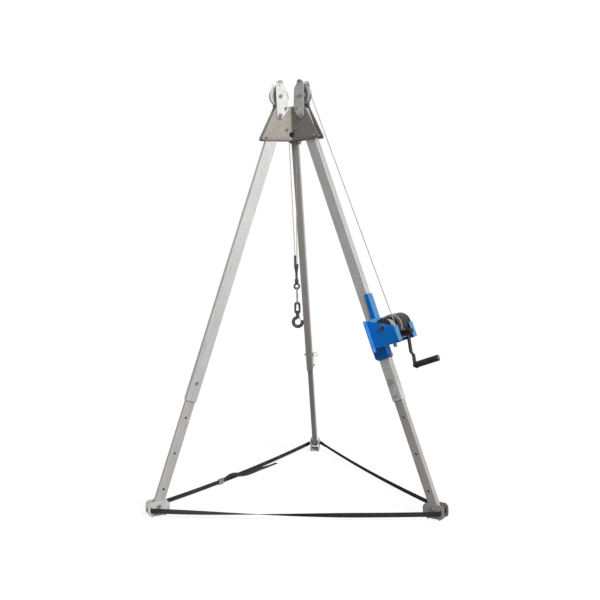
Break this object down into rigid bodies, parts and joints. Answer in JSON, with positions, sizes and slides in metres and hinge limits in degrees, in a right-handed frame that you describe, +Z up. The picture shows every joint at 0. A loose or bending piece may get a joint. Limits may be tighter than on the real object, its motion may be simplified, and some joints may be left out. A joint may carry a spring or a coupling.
{
  "type": "rescue tripod",
  "caption": "Tall rescue tripod with telescopic folding legs, head pulleys, a worm-gear hand winch, wire rope, latched swivel hook and a strap round its feet.",
  "frame": {"origin": "the floor point under the hook, on the axis the three legs stand round", "axes": "+Z up along the hoist axis; the front head plate faces -Y, the winch leg stands towards +X and -Y"},
  "size_m": [1.6234, 1.4478, 2.357],
  "materials": {
    "leg_aluminium": "satin",
    "head_steel": "satin",
    "cheek_steel": "satin",
    "sheave_metal": "machined",
    "shoe_steel": "zinc",
    "wire_rope": "galvanised",
    "winch_blue": "satin",
    "black_paint": "satin",
    "bronze": "machined",
    "grip_plastic": "matte",
    "webbing": "matte",
    "hook_iron": "oiled",
    "zinc": "zinc"
  },
  "bodies": {
    "head": {"head_plate_front": "head_steel", "head_plate_right": "head_steel", "head_plate_left": "head_steel", "pivot_bolts": "zinc", "stop_bolts": "zinc", "left_cheeks": "cheek_steel", "right_cheeks": "cheek_steel", "pulley_bolts": "zinc", "sheave_bushes": "bronze", "left_rope_arc": "wire_rope", "left_rope_fall": "wire_rope", "right_rope_arc": "wire_rope", "right_rope_fall": "wire_rope"},
    "left_sheave": {"left_sheave": "sheave_metal"},
    "right_sheave": {"right_sheave": "sheave_metal"},
    "hook_head": {"rope_ferrule": "hook_iron", "hook_socket": "hook_iron", "quick_link": "zinc", "swivel_eye": "hook_iron"},
    "hook": {"swivel_hook": "hook_iron"},
    "latch": {"hook_latch": "zinc"},
    "right_upper_leg": {"right_upper_leg": "leg_aluminium", "right_lanyard": "wire_rope", "winch_channel": "winch_blue", "winch_housing": "winch_blue", "winch_bolts": "zinc", "gear_case": "black_paint", "winch_bushes": "bronze", "rope_lead": "wire_rope"},
    "right_lower_leg": {"right_lower_leg": "leg_aluminium", "right_strap": "webbing"},
    "right_shoe": {"right_shoe": "shoe_steel", "right_foot_bolt": "zinc"},
    "right_pin": {"right_lock_pin": "zinc"},
    "left_upper_leg": {"left_upper_leg": "leg_aluminium", "left_lanyard": "wire_rope"},
    "left_lower_leg": {"left_lower_leg": "leg_aluminium", "left_strap": "webbing", "strap_buckle": "zinc"},
    "left_shoe": {"left_shoe": "shoe_steel", "left_foot_bolt": "zinc"},
    "left_pin": {"left_lock_pin": "zinc"},
    "rear_upper_leg": {"rear_upper_leg": "leg_aluminium", "rear_lanyard": "wire_rope"},
    "rear_lower_leg": {"rear_lower_leg": "leg_aluminium", "rear_strap": "webbing"},
    "rear_shoe": {"rear_shoe": "shoe_steel", "rear_foot_bolt": "zinc"},
    "rear_pin": {"rear_lock_pin": "zinc"},
    "drum": {"winch_drum": "black_paint", "drum_shaft": "zinc", "worm_wheel": "bronze", "rope_winding": "wire_rope"},
    "crank": {"worm_shaft": "zinc", "crank_arm": "black_paint", "crank_nut": "black_paint", "grip_spindle": "zinc"},
    "grip": {"crank_grip": "grip_plastic"}
  },
  "joints": [
    {"name": "right_leg_fold", "type": "hinge", "parent": "head", "child": "right_upper_leg", "pos_m": [0.07275, -0.042, 2.163], "axis": [0.5, 0.866, 0], "range_deg": [0, 20.2], "deforming": ["right_strap", "rope_lead"]},
    {"name": "right_leg_slide", "type": "slide", "parent": "right_upper_leg", "child": "right_lower_leg", "axis": [-0.299, 0.1726, 0.9385], "range_m": [0, 0.4]},
    {"name": "right_foot_tilt", "type": "hinge", "parent": "right_lower_leg", "child": "right_shoe", "pos_m": [0.74347, -0.42924, 0.058], "axis": [-0.5, -0.866, 0], "range_deg": [-15, 15]},
    {"name": "right_pin_pull", "type": "slide", "parent": "right_upper_leg", "child": "right_pin", "axis": [-0.5, -0.866, 0], "range_m": [0, 0.06], "deforming": ["right_lanyard"]},
    {"name": "left_leg_fold", "type": "hinge", "parent": "head", "child": "left_upper_leg", "pos_m": [-0.07275, -0.042, 2.163], "axis": [0.5, -0.866, 0], "range_deg": [0, 20.2], "deforming": ["left_strap", "strap_buckle"]},
    {"name": "left_leg_slide", "type": "slide", "parent": "left_upper_leg", "child": "left_lower_leg", "axis": [0.299, 0.1726, 0.9385], "range_m": [0, 0.4]},
    {"name": "left_foot_tilt", "type": "hinge", "parent": "left_lower_leg", "child": "left_shoe", "pos_m": [-0.74347, -0.42924, 0.058], "axis": [-0.5, 0.866, 0], "range_deg": [-15, 15]},
    {"name": "left_pin_pull", "type": "slide", "parent": "left_upper_leg", "child": "left_pin", "axis": [-0.5, 0.866, 0], "range_m": [0, 0.06], "deforming": ["left_lanyard"]},
    {"name": "rear_leg_fold", "type": "hinge", "parent": "head", "child": "rear_upper_leg", "pos_m": [0, 0.084, 2.163], "axis": [-1, 0, 0], "range_deg": [0, 20.2], "deforming": ["rear_strap"]},
    {"name": "rear_leg_slide", "type": "slide", "parent": "rear_upper_leg", "child": "rear_lower_leg", "axis": [0, -0.3453, 0.9385], "range_m": [0, 0.4]},
    {"name": "rear_foot_tilt", "type": "hinge", "parent": "rear_lower_leg", "child": "rear_shoe", "pos_m": [0, 0.85849, 0.058], "axis": [1, 0, 0], "range_deg": [-15, 15]},
    {"name": "rear_pin_pull", "type": "slide", "parent": "rear_upper_leg", "child": "rear_pin", "axis": [1, 0, 0], "range_m": [0, 0.06], "deforming": ["rear_lanyard"]},
    {"name": "crank_spin", "type": "hinge", "parent": "right_upper_leg", "child": "crank", "pos_m": [0.55589, -0.32094, 0.9479], "axis": [0.8128, -0.4692, 0.3453], "range_deg": [0, 12297.63]},
    {"name": "drum_spin", "type": "hinge", "parent": "right_upper_leg", "child": "drum", "pos_m": [0.53944, -0.31145, 0.99952], "axis": [0.5, 0.866, 0], "range_deg": [0, 559.48]},
    {"name": "right_sheave_spin", "type": "hinge", "parent": "head", "child": "right_sheave", "pos_m": [0.06755, -0.039, 2.272], "axis": [0.5, 0.866, 0], "range_deg": [0, 458.87]},
    {"name": "hook_travel", "type": "slide", "parent": "head", "child": "hook_head", "axis": [0, 0, 1], "range_m": [0, 0.402], "deforming": ["right_rope_fall", "left_rope_fall"]},
    {"name": "left_sheave_spin", "type": "hinge", "parent": "head", "child": "left_sheave", "pos_m": [-0.06755, -0.039, 2.272], "axis": [0.5, -0.866, 0], "continuous": true},
    {"name": "grip_spin", "type": "hinge", "parent": "crank", "child": "grip", "pos_m": [0.57844, -0.40464, 0.78108], "axis": [0.8128, -0.4692, 0.3453], "continuous": true},
    {"name": "hook_swivel", "type": "hinge", "parent": "hook_head", "child": "hook", "pos_m": [0, 0, 0.9922], "axis": [0, 0, 1], "continuous": true},
    {"name": "latch_open", "type": "hinge", "parent": "hook", "child": "latch", "pos_m": [0.00773, 0, 1.01598], "axis": [0, 1, 0], "range_deg": [0, 45], "stiffness_Nm_per_rad": 0.02, "springref_deg": -11.46}
  ],
  "couplings": [
    {"joint": "left_leg_fold", "follows": "right_leg_fold", "ratio": 1},
    {"joint": "rear_leg_fold", "follows": "right_leg_fold", "ratio": 1},
    {"joint": "drum_spin", "follows": "crank_spin", "ratio": 0.045455},
    {"joint": "right_sheave_spin", "follows": "crank_spin", "ratio": 0.037273},
    {"joint": "hook_travel", "follows": "crank_spin", "m_per_rad": 0.0018636}
  ]
}
